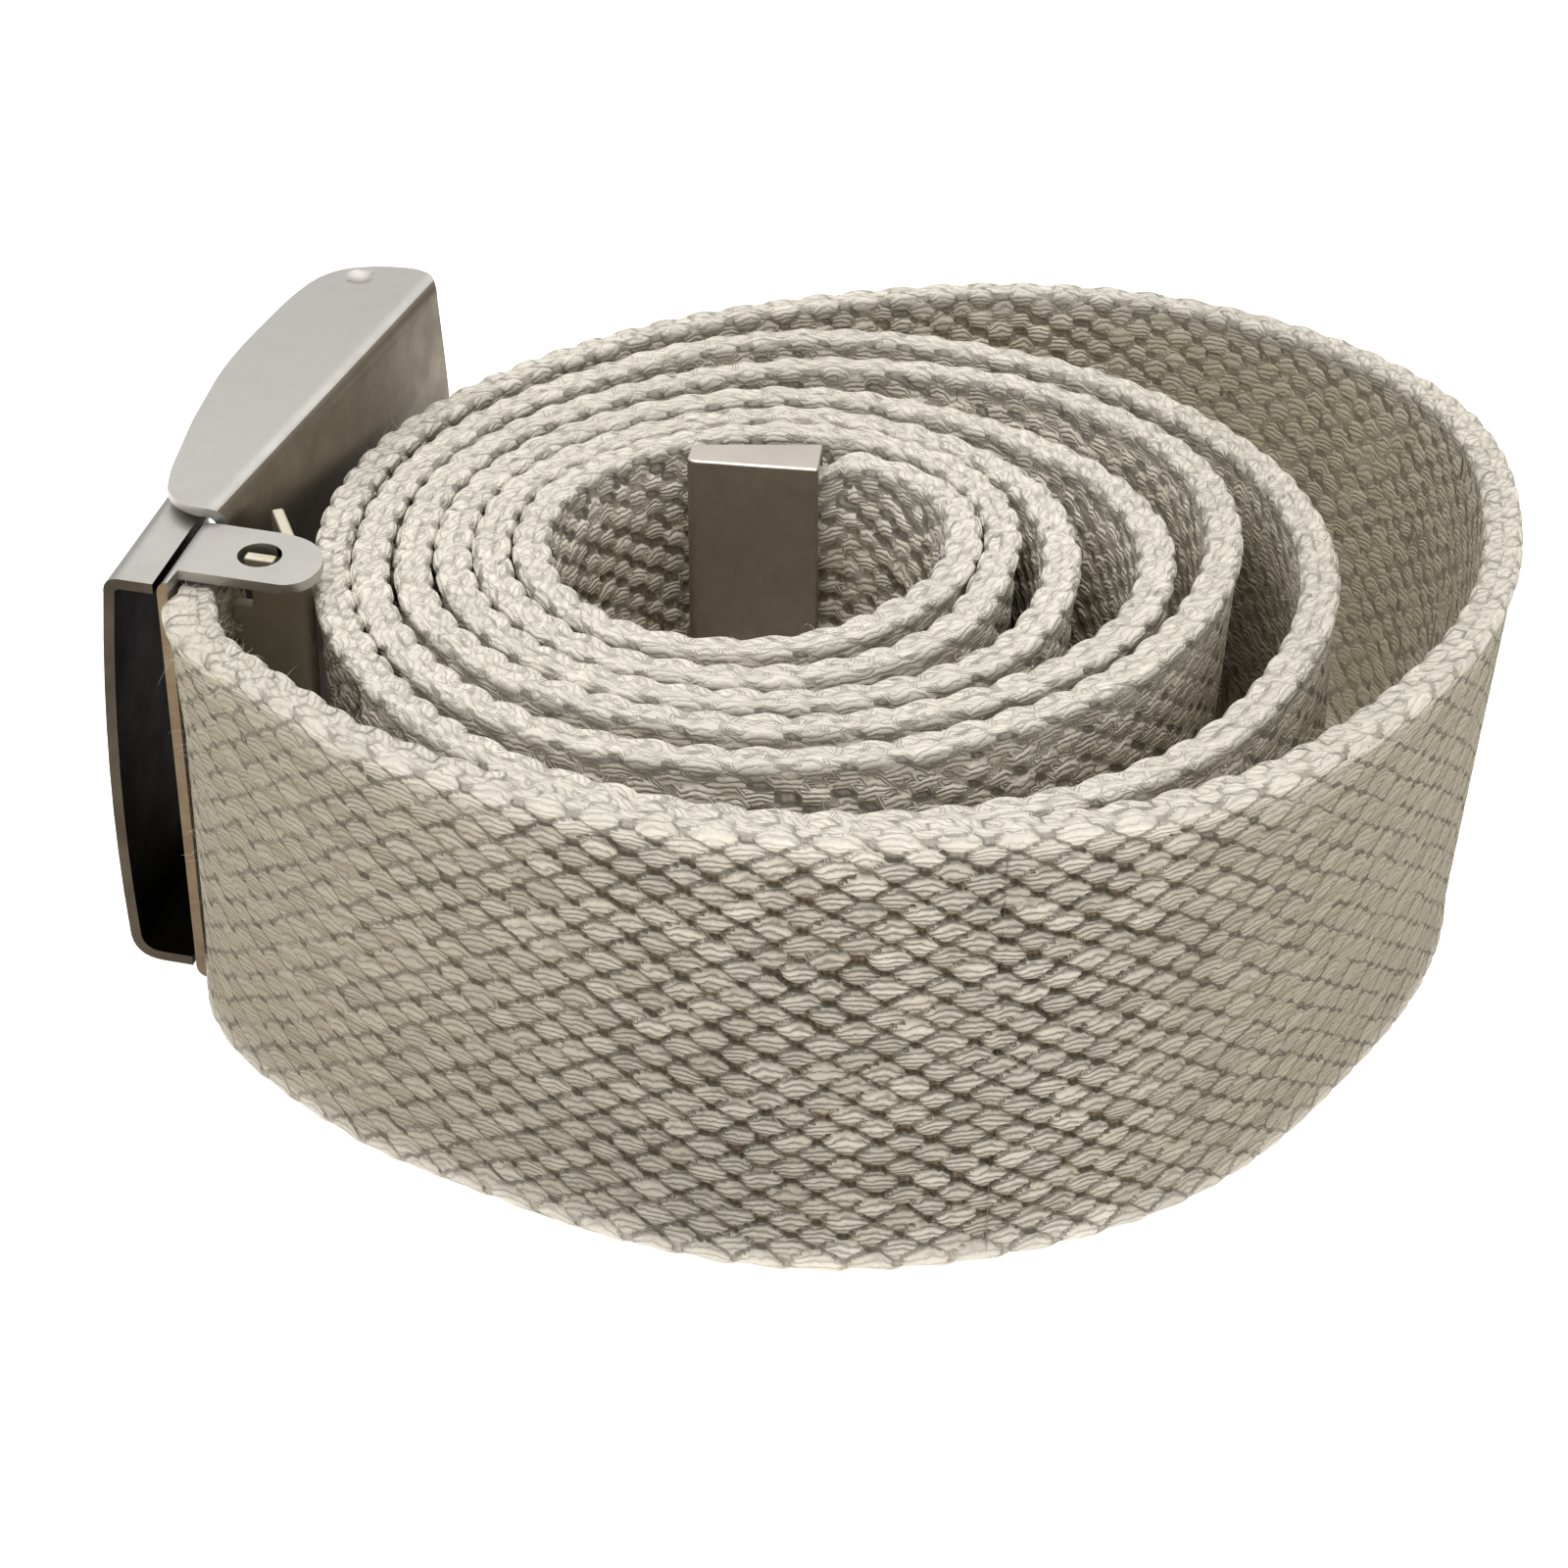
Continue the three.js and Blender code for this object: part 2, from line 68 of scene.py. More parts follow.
# Seen from above: the distance of the upper edge from the coil's centre, one row for each turn from
# the outside in, one column for each 30 degrees from -150 to 180
TURNS = np.array([
    42.5, 42.7, 44.15, 46.1, 46.4, 49.7, 55.8, 55.1, 45.8, 38.5, 34.4, 32.6,
    34.0, 38.0, 41.3, 41.1, 37.6, 36.1, 36.5, 37.9, 38.5, 33.8, 30.9, 29.8,
    31.2, 33.4, 33.3, 31.0, 29.5, 30.0, 32.0, 33.0, 32.0, 29.4, 27.8, 26.9,
    28.0, 28.9, 28.9, 27.4, 26.1, 24.9, 24.1, 24.4, 26.0, 25.4, 24.6, 24.2,
    24.9, 25.9, 25.4, 23.4, 20.0, 18.3, 18.6, 19.9, 22.0, 21.9, 21.7, 21.5,
    22.1, 22.8, 21.8, 18.5, 15.1, 14.45, 15.4, 17.2, 18.8, 19.0, 18.9, 18.7,
    19.2, 19.4, 17.4, 13.9, 12.2, 11.7, 12.5, 13.4, 13.9,
])
# In the same columns: how far the lower edge stands inside the upper one, in the outermost turn, in
# the second and in the others, and how high the outermost is still held off the table by the buckle
OUTER_LEAN = [-0.2, 1.7, 0.55, 2.6, 3.9, 2.6, 2.45, 1.25, 0.7, 0.5, 0.7, 1.1]
SECOND_LEAN = [1.4, 1.4, 0.7, 1.9, 0.6, -0.6, 0.4, 0.8, 0.5, 0.5, 0.7, 1.1]
INNER_LEAN = [1.4, 1.4, 0.7, 1.9, 2.4, 2.0, 1.3, 0.8, 0.5, 0.5, 0.7, 1.1]
LEANS = np.array(OUTER_LEAN + SECOND_LEAN + 5 * INNER_LEAN)
RISES = np.array([1.35, 1.3, 1.15, 0.7, 0.35, 0.1, 0, 0, 0, 0, 0, 0])
# The bend out of the buckle: angle about the coil's centre, distance of the upper edge from it
LEAD_IN = np.array([
    (-160, 42.5), (-156, 43.0), (-152, 43.0), (-148, 42.7), (-144, 42.4), (-140, 42.25), (-136, 42.25),
])
# The angles at which the strap leaves the buckle's tilt and at which it has the coil's own lean
BEND_START, COIL_START = -163, -132
COIL_ANGLES = np.arange(COIL_START, 2233, 6)
# In the buckle's frame: the held end's middle, its upper edge, its thickness and places along it
HELD = {"x": 1.98, "top": -1.1, "thickness": 2.1, "ys": (7.3, 5.5, 3.6, 1.8)}
# In the tip cap's frame: along the cap, across it, how much narrower at each edge, thickness
TIP_MOUTH, TIP_TURN = np.array([-0.23, 10.06, 0]), radians(175)
TIP_RUN = np.array([
    (-2.0, -0.45, 0, 2.2), (-0.5, -0.5, 0.85, 1.9), (4.0, -0.25, 0.9, 1.8), (8.9, 0.05, 0.9, 1.6),
])


def column_curve(values, angles):
    """A Catmull-Rom curve through values that stand 30 degrees apart from -150 degrees on: between
    two values it is the cubic whose slope at each is half the difference of its neighbours."""
    at = np.clip((np.asarray(angles, float) + 150) / 30, 0, len(values) - 1)
    low = np.minimum(at.astype(int), len(values) - 2)
    before, first, second, after = (
        values[np.clip(low + step, 0, len(values) - 1)] for step in (-1, 0, 1, 2))
    w = at - low
    slope_1, slope_2 = (second - before) / 2, (after - first) / 2
    return ((2 * first - 2 * second + slope_1 + slope_2) * w**3
            + (3 * second - 3 * first - 2 * slope_1 - slope_2) * w**2 + slope_1 * w + first)


def on_coil(angles, radii, heights):
    """Points at a distance from the coil's centre in the direction of each angle, at a height."""
    turn = np.radians(angles)
    return np.stack([COIL_CENTRE[0] + radii * np.cos(turn), COIL_CENTRE[1] + radii * np.sin(turn),
                     heights + 0 * turn], -1)


def unit(vectors):
    """The vectors divided by their lengths."""
    return vectors / np.linalg.norm(vectors, axis=-1, keepdims=True)


def webbing_stations():
    """The middles of the upper and the lower edge, the thickness and the direction inwards, at
    places along the strap from the buckle to the tip: held, bent upright, coiled, in the tip."""
    held_places = np.array([(HELD["x"], y, HELD["top"]) for y in HELD["ys"]])
    held_top = BUCKLE_CORNER + held_places @ BUCKLE_TURN.T
    held_up = BUCKLE_TURN[:, 2]

    angles, radii = LEAD_IN.T
    hold = ((COIL_START - angles) / (COIL_START - BEND_START))[:, None] ** 2
    leaning = on_coil(angles, column_curve(LEANS, angles), WEB_WIDTH) - on_coil(angles, 0 * radii, 0)
    up = unit(unit(leaning) * (1 - hold) + held_up * hold)
    rise = np.maximum(0, column_curve(RISES, angles))
    lead_top = on_coil(angles, radii, rise + WEB_WIDTH * up[:, 2])

    radii = column_curve(TURNS, COIL_ANGLES)
    rise = np.maximum(0, column_curve(RISES, COIL_ANGLES))
    coil_top = on_coil(COIL_ANGLES, radii, rise + WEB_WIDTH)
    coil_bottom = on_coil(COIL_ANGLES, radii - column_curve(LEANS, COIL_ANGLES), rise)

    along, across, margin, tip_thickness = TIP_RUN.T
    place = np.stack([along, across, 0 * along], -1) @ turned(2, TIP_TURN).T + TIP_MOUTH
    tip_top = place + np.outer(WEB_WIDTH - margin, [0, 0, 1])
    tip_bottom = place + np.outer(margin, [0, 0, 1])

    top = np.concatenate([held_top, lead_top, coil_top, tip_top])
    bottom = np.concatenate([
        held_top - WEB_WIDTH * held_up, lead_top - WEB_WIDTH * up, coil_bottom, tip_bottom])
    thickness = np.full(len(top), WEB_THICKNESS)
    thickness[:len(held_top)] = HELD["thickness"]
    thickness[-len(tip_thickness):] = tip_thickness
    inward = unit(np.cross([0, 0, 1], np.gradient(top, axis=0)))
    inward[:len(held_top)] = BUCKLE_TURN[:, 0]
    return top, bottom, thickness[:, None], inward


STATIONS = np.concatenate(webbing_stations(), axis=1)
MIDDLES = (STATIONS[:, 0:3] + STATIONS[:, 3:6]) / 2
STATION_AT = np.concatenate([[0], np.cumsum(np.linalg.norm(np.diff(MIDDLES, axis=0), axis=1))])
STRAP_LENGTH = STATION_AT[-1]
STATION_SLOPES = np.gradient(STATIONS, STATION_AT, axis=0)


def strap_at(along):
    """Upper edge, lower edge, thickness and inward direction at distances along the strap: cubic
    Hermite curves through the stations, with slopes from their neighbours."""
    low = np.clip(np.searchsorted(STATION_AT, along, side="right") - 1, 0, len(STATION_AT) - 2)
    span = (STATION_AT[low + 1] - STATION_AT[low])[:, None]
    w = (along[:, None] - STATION_AT[low][:, None]) / span
    value = ((2 * w**3 - 3 * w**2 + 1) * STATIONS[low] + (3 * w**2 - 2 * w**3) * STATIONS[low + 1]
             + (w**3 - 2 * w**2 + w) * span * STATION_SLOPES[low]
             + (w**3 - w**2) * span * STATION_SLOPES[low + 1])
    return value[:, 0:3], value[:, 3:6], value[:, 6:7], unit(value[:, 7:10])


# The strap's section is a long rectangle with round corners. Its girth is measured from the middle
# of the upper edge, down the outer face as + and down the inner face as -.
CORNER = 0.55
FLAT_EDGE = WEB_THICKNESS / 2 - CORNER
ARC = CORNER * np.pi / 2
FLAT_FACE = WEB_WIDTH - 2 * CORNER
HALF_GIRTH = 2 * FLAT_EDGE + 2 * ARC + FLAT_FACE


def strap_section(girth):
    """Offset outwards, depth below the upper edge, and the normal's share of each, round the
    section: edge, quarter circle, face, quarter circle, edge."""
    q = np.abs(girth)
    lower = q > HALF_GIRTH / 2
    q = np.where(lower, HALF_GIRTH - q, q)
    turn = np.clip((q - FLAT_EDGE) / CORNER, 0, np.pi / 2)
    out = np.minimum(q, FLAT_EDGE) + CORNER * np.sin(turn)
    down = CORNER * (1 - np.cos(turn)) + np.maximum(q - FLAT_EDGE - ARC, 0)
    normal_out, normal_down = np.sin(turn), -np.cos(turn)
    side = np.where(girth < 0, -1.0, 1.0)
    return (side * out, np.where(lower, WEB_WIDTH - down, down),
            side * normal_out, np.where(lower, -normal_down, normal_down))


# The weave: grains in columns 1.72 mm apart along the strap, every other column half a row lower,
# rows 2.05 mm apart; the row next to an edge has longer grains, joined to the edge's roll.
COLUMN, ROW = 1.72, 2.05
FIRST_ROW = 1.5
GRAIN_LONG, GRAIN_HIGH = 1.46, 0.95
EDGE_GRAIN_LONG, EDGE_GRAIN_HIGH = 1.6, 1.0
# The inner face's grains are shorter, so that it looks dotted
INNER_GRAIN_SHARE = 0.84
LAST_ROW = 15
COLUMN_LEAN = -np.tan(radians(2))
GRAIN_TILT = 0.1
STRANDS_ACROSS, STRANDS_BENT, STRANDS_ALONG = 1.25, 0.7, 0.5
# Random draws for each grain of each face and for each loop of each edge
GRAIN_DRAWS = np.random.default_rng(11).random((2, 900, LAST_ROW + 2, 6))
EDGE_DRAWS = np.random.default_rng(12).random((2, 900, 4))


def grain(along, q, side, column, row):
    """One grain's relief, strand count, tone and share of the groove around it. With x and y the
    distances from its middle over its half length and half height, its outline is
    |y| = (1 - x2)^0.55 and its relief (1 - (y / outline)^2)^0.4, a little higher above the middle
    than below it. Its plied strands arch over and draw together towards its ends: they part about
    where 1.25 (0.9 y + 0.7 y / outline) - 0.7 x2 + 0.5 x is whole."""
    odd = column % 2
    last = LAST_ROW - odd
    draw = GRAIN_DRAWS[(side < 0).astype(int), column % 900, np.clip(row, 0, LAST_ROW + 1)]
    at_edge = (odd == 0) & ((row == 0) | (row == last))
    middle = FIRST_ROW + ROW * (row + odd / 2) + 0.18 * (draw[..., 1] - 0.5)
    size = 0.88 + 0.22 * draw[..., 2]
    size_along = size * np.where(side < 0, INNER_GRAIN_SHARE, 1)
    x = (along - COLUMN * column - 0.26 * (draw[..., 0] - 0.5)) / (
        size_along * np.where(at_edge, EDGE_GRAIN_LONG, GRAIN_LONG))
    tilt = GRAIN_TILT * (0.2 + 1.6 * draw[..., 3]) * side * GRAIN_LONG
    y = (q - middle - tilt * x) / (size * np.where(at_edge, EDGE_GRAIN_HIGH, GRAIN_HIGH))
    outline = np.maximum(1 - x * x, 0) ** 0.55
    reach = y / np.maximum(outline, 1e-3)
    relief = np.maximum(1 - reach**2, 0) ** 0.4 * np.clip(1.6 * (1 - x * x), 0, 1) ** 0.5
    relief = np.where((np.abs(x) < 1) & (row >= 0) & (row <= last), relief, 0)
    relief = relief * (0.8 + 0.2 * draw[..., 4]) * (1 - 0.24 * np.clip(reach, -1, 1))
    strand = (STRANDS_ACROSS * (0.7 + 0.6 * draw[..., 0]) * (0.9 * y + 0.7 * np.clip(reach, -1.2, 1.2))
              - STRANDS_BENT * (0.4 + 1.2 * draw[..., 1]) * x * x
              + side * STRANDS_ALONG * x + 3 * draw[..., 4])
    return relief, strand, draw[..., 5], np.clip(0.55 + 0.9 * reach, 0.25, 1)


def weave(along, girth):
    """Relief from 0 in a pit to 1 on a crest, strand count, tone and nearness to an edge, at
    distances along the strap and round its girth: the highest of the grains that reach a point, less
    where the next highest is nearly as high, so that a groove parts the two."""
    side = np.where(girth < 0, -1.0, 1.0)
    q = np.abs(girth)
    from_edge = np.minimum(q, HALF_GIRTH - q)
    # The rows and columns wander a little, but keep to the edges
    inside = np.clip((from_edge - 2) / 4, 0, 1)
    q = q + 0.06 * inside * (np.sin(0.37 * along + side) + np.sin(0.9 * along + 0.5 * q))
    slanted = along - COLUMN_LEAN * q * side + 0.1 * inside * np.sin(0.55 * q + 0.21 * along)
    nearest = np.round(slanted / COLUMN).astype(int)
    relief, strand, tone = np.zeros(q.shape), 9 * q, np.full(q.shape, 0.5)
    second, below = np.zeros(q.shape), np.ones(q.shape)
    for column_step in (-1, 0, 1):
        column = nearest + column_step
        own_row = np.round((q - FIRST_ROW) / ROW - (column % 2) / 2).astype(int)
        for row_step in (-1, 0, 1):
            found = grain(slanted, q, side, column, own_row + row_step)
            higher = found[0] > relief
            second = np.where(higher, relief, np.maximum(second, found[0]))
            relief, strand, tone, below = (
                np.where(higher, new, old) for new, old in zip(found, (relief, strand, tone, below)))

    # The groove is cut mostly into the lower side of the grain above it
    relief = relief * (1 - 0.9 * below * (1 - np.clip((relief - second) / 0.42, 0, 1) ** 0.7))

    # The roll along each edge: two rows of soft loops, half a column apart, whose strands slant
    # towards each other as in a plait
    rim = np.clip((2.9 - from_edge) / 1.4, 0, 1)
    rim = rim * rim * (3 - 2 * rim)
    turned_by = 0.5 * (side < 0) + 0.25 * (q > HALF_GIRTH / 2)
    loop_column = np.round(along / COLUMN - turned_by).astype(int)
    draw = EDGE_DRAWS[(side < 0).astype(int), loop_column % 900]
    x = (along - COLUMN * (loop_column + turned_by) - 0.4 * (draw[..., 0] - 0.5)) / (0.6 * COLUMN)
    y = (from_edge - 0.55 - 0.25 * (draw[..., 1] - 0.5) + 0.25 * x) / 0.85
    loop = np.maximum(1 - x**2 - 0.7 * y**2, 0) ** 0.5
    edge_relief = 0.25 + 0.75 * loop * (0.75 + 0.25 * draw[..., 2])
    edge_relief = edge_relief * np.clip((1.35 - from_edge) / 0.35, 0, 1)
    higher = edge_relief > relief
    strand = np.where(higher, 1.3 * y - 1.2 * side * x + 3 * draw[..., 2], strand)
    tone = np.where(higher, draw[..., 3], tone)
    relief = np.maximum(relief, edge_relief)
    return relief, strand, tone, rim + 0 * relief


# Along the strap, where the outermost turn ends and the others begin
OUTER_TURN_END = 300
PIT_DEPTH, EDGE_PIT_DEPTH = 0.5, 0.32
EDGE_SWELL, KNOT_DEPTH = 0.24, 0.28
# Past the buckle the strap springs out of its grip: how far, how much farther at the upper edge, and
# the share of it at places along the strap
PUFF, PUFF_ABOVE = 0.45, 0.6
PUFF_ALONG = np.array([(7.2, 0), (8.6, 1), (12, 0.8), (22, 0)])
# Rubbed and fluffed next to the buckle, where the pits show less: place along the strap, amount
FLUFF = np.array([(0, 1), (20, 1), (38, 0.5), (60, 0)])
# Pale near an edge, partly from wear and partly painted light that brightens the shaded upper faces
# of the inner turns: how deep on the outermost turn and on the others (mm)
PALE_OUTERMOST, PALE_OTHERS = 1.9, 4.5
# Painted shade low on the outermost turn: middle from left to right, reach to each side (mm)
LOW_SHADE_MIDDLE, LOW_SHADE_REACH = -9, 15
# Over how many millimetres the weave fades out on a face that is hidden farther down
FADE = 3
WEFT_SPACING = 0.43


def fluffed(along, points):
    """How far the fluffed yarn hides the weave, from 0 to 1: next to the buckle, round the coil's
    right-hand end, and less towards its back."""
    beside_buckle = np.interp(along, *FLUFF.T)[:, None]
    right = np.clip((points[..., 0] - 14) / 20, 0, 0.95)
    back = np.clip((points[..., 1] - 8) / 40, 0, 0.3)
    return np.maximum(beside_buckle, np.maximum(right, back))


def strap_surface(along, girth, plain):
    """Points of the strap's woven surface on a grid, and the weave there: the section's outline at
    each distance along, pressed in by the pit depth where the relief is low. The weave fades out
    below the depths plain on the inner and on the outer face, where nothing is seen of it."""
    top, bottom, thickness, inward = strap_at(along)
    out, down, normal_out, normal_down = strap_section(girth)
    relief, strand, tone, rim = weave(along[:, None], girth[None, :])
    fluff = fluffed(along, (top[:, None] + bottom[:, None]) / 2 + 0 * relief[..., None])
    outermost = along[:, None] < OUTER_TURN_END
    pale_depth = np.where(outermost, PALE_OUTERMOST, PALE_OTHERS)
    pale = np.exp(-(np.minimum(down, WEB_WIDTH - down) / pale_depth) ** 2)
    # Painted light and shade: the inner faces, and less so the outer faces of the inner turns, are
    # painted brighter where the turns shade each other; the outermost is painted darker low down at its
    # front
    painted_low_shade = np.exp(-((top[:, :1] - LOW_SHADE_MIDDLE) / LOW_SHADE_REACH) ** 2) * np.clip((down - 6) / 20, 0, 1)
    painted_light_and_shade = np.where(girth < 0, 1.0, np.where(outermost, -0.3 * painted_low_shade, 0.7)) * (1 - rim)
    deep = np.clip((down - np.where(girth < 0, *plain)) / FADE, 0, 1)
    # Where it is fluffed, only the rows still show, parted by shallow grooves along the strap
    rows = 0.78 - 0.5 * (0.5 - 0.5 * np.cos(2 * np.pi * (np.abs(girth) - FIRST_ROW) / ROW)) ** 4
    hidden = np.clip(1.6 * fluff - 0.3, 0, 0.92) * (1 - rim) * np.where(girth < 0, 0.4, 1)
    relief = relief * (1 - hidden) + rows * hidden
    relief, tone = relief * (1 - deep) + 0.6 * deep, tone * (1 - deep) + 0.5 * deep
    fluff = np.maximum(fluff, deep)
    pit = (PIT_DEPTH + (EDGE_PIT_DEPTH - PIT_DEPTH) * rim) * (1 - relief) * (1 - 0.7 * fluff)
    # The edges are plumper than the faces, and their knots stand 3.44 mm apart
    pit = pit - EDGE_SWELL * rim * np.abs(normal_out)
    pit = pit + KNOT_DEPTH * np.abs(normal_down) * np.sin(np.pi * along[:, None] / (2 * COLUMN)) ** 2
    sprung = np.interp(along, *PUFF_ALONG.T)[:, None]
    puff = sprung * (PUFF + PUFF_ABOVE * np.clip(1 - down / 9, 0, 1)) * (normal_out > 0.5)
    out = out[None] * thickness / WEB_THICKNESS + (puff - pit) * np.abs(normal_out) * np.sign(out)
    width = np.linalg.norm(bottom - top, axis=1, keepdims=True)
    down = (down[None] - pit * normal_down[None]) * width / WEB_WIDTH
    points = (top[:, None] + down[..., None] * unit(bottom - top)[:, None]
              - out[..., None] * inward[:, None])
    weft = along[:, None] / WEFT_SPACING + 0 * relief
    return points, {"relief": relief, "strand": strand, "tone": tone, "rim": rim, "pale": pale,
                    "painted_light_and_shade": painted_light_and_shade, "fluff": fluff, "weft": weft}


def spaced(*parts):
    """Girth positions with one spacing after another: each part is (from, to, spacing)."""
    rows = [np.linspace(a, b, max(2, round((b - a) / step)), endpoint=False) for a, b, step in parts]
    return np.concatenate(rows)


def mesh_object(name, points, faces, attributes=None, sharp=None):
    """A smooth-shaded object in metres from points in millimetres and face arrays, each an array of
    corner numbers, with one number for each point in each attribute."""
    mesh = bpy.data.meshes.new(name)
    corners = np.concatenate([f.ravel() for f in faces]).astype(np.int32)
    sizes = np.concatenate([np.full(len(f), f.shape[1], np.int32) for f in faces])
    mesh.vertices.add(len(points))
    mesh.vertices.foreach_set("co", (points * MM).astype(np.float32).ravel())
    mesh.loops.add(len(corners))
    mesh.loops.foreach_set("vertex_index", corners)
    mesh.polygons.add(len(sizes))
    mesh.polygons.foreach_set("loop_start", (np.cumsum(sizes) - sizes).astype(np.int32))
    mesh.update(calc_edges=True)
    mesh.polygons.foreach_set("use_smooth", np.ones(len(sizes), bool))
    for key, values in (attributes or {}).items():
        layer = mesh.attributes.new(key, "FLOAT", "POINT")
        layer.data.foreach_set("value", np.asarray(values, np.float32).ravel())
    if sharp is not None:
        ends = np.zeros(2 * len(mesh.edges), np.int32)
        mesh.edges.foreach_get("vertices", ends)
        marked = sharp[ends].reshape(-1, 2).all(axis=1)
        mesh.attributes.new("sharp_edge", "BOOLEAN", "EDGE").data.foreach_set("value", marked)
    mesh.validate()
    piece = bpy.data.objects.new(name, mesh)
    bpy.context.scene.collection.objects.link(piece)
    return piece


def closed_tube(rings, around):
    """Corner numbers for a grid of rings x around points that closes on itself, with outward faces,
    and for the fans that close its two ends on the two points after the grid's own."""
    number = np.arange(rings * around).reshape(rings, around)
    beside = np.roll(number, -1, axis=1)
    walls = np.stack([number[:-1], beside[:-1], beside[1:], number[1:]], -1).reshape(-1, 4)
    first = np.stack([beside[0], number[0], np.full(around, rings * around)], -1)
    last = np.stack([number[-1], beside[-1], np.full(around, rings * around + 1)], -1)
    return [walls, np.concatenate([first, last])]


def strap_length(name, start, end, step, girth, plain):
    """One length of the strap, closed at both ends, from start to end along it."""
    along = np.linspace(start, end, round((end - start) / step) + 1)
    grid, attributes = strap_surface(along, girth, plain)
    rings, around = grid.shape[:2]
    middles = grid[[0, -1]].mean(axis=1)
    points = np.concatenate([grid.reshape(-1, 3), middles])
    values = {key: np.append(value.ravel(), [0.5, 0.5]) for key, value in attributes.items()}
    at_ends = np.zeros(len(points), bool)
    at_ends[:around] = at_ends[(rings - 1) * around:rings * around] = True
    return mesh_object(name, points, closed_tube(rings, around), values, at_ends)


def linear(colour):
    """An sRGB hex colour as linear red, green, blue and alpha."""
    parts = np.array([int(colour[i:i + 2], 16) for i in (1, 3, 5)]) / 255
    low = parts <= 0.04045
    return (*np.where(low, parts / 12.92, ((parts + 0.055) / 1.055) ** 2.4), 1.0)


def new_material(name):
    """A material with no nodes yet."""
    material = bpy.data.materials.new(name)
    material.use_nodes = True
    material.node_tree.nodes.clear()
    return material


def add(material, kind, inputs=None, **settings):
    """Adds a node with its settings. An input is a value, a socket of another node, or another
    node, whose first output is taken."""
    made = material.node_tree.nodes.new(kind)
    for key, value in settings.items():
        setattr(made, key, value)
    for key, value in (inputs or {}).items():
        if isinstance(value, bpy.types.Node):
            value = value.outputs[0]
        if isinstance(value, bpy.types.NodeSocket):
            material.node_tree.links.new(value, made.inputs[key])
        else:
            made.inputs[key].default_value = value
    return made


# From the weft at the bottom of a pit to the crest of a grain: relief, colour. The darkest stops are
# painted shade in the grooves round each grain, deepest on its lower side.
WOVEN_COLOURS = [
    (0.0, "#736553"), (0.05, "#4a3c2c"), (0.14, "#5b4d3b"), (0.3, "#837661"), (0.6, "#9e9585"),
    (1.0, "#beb6a8"),
]
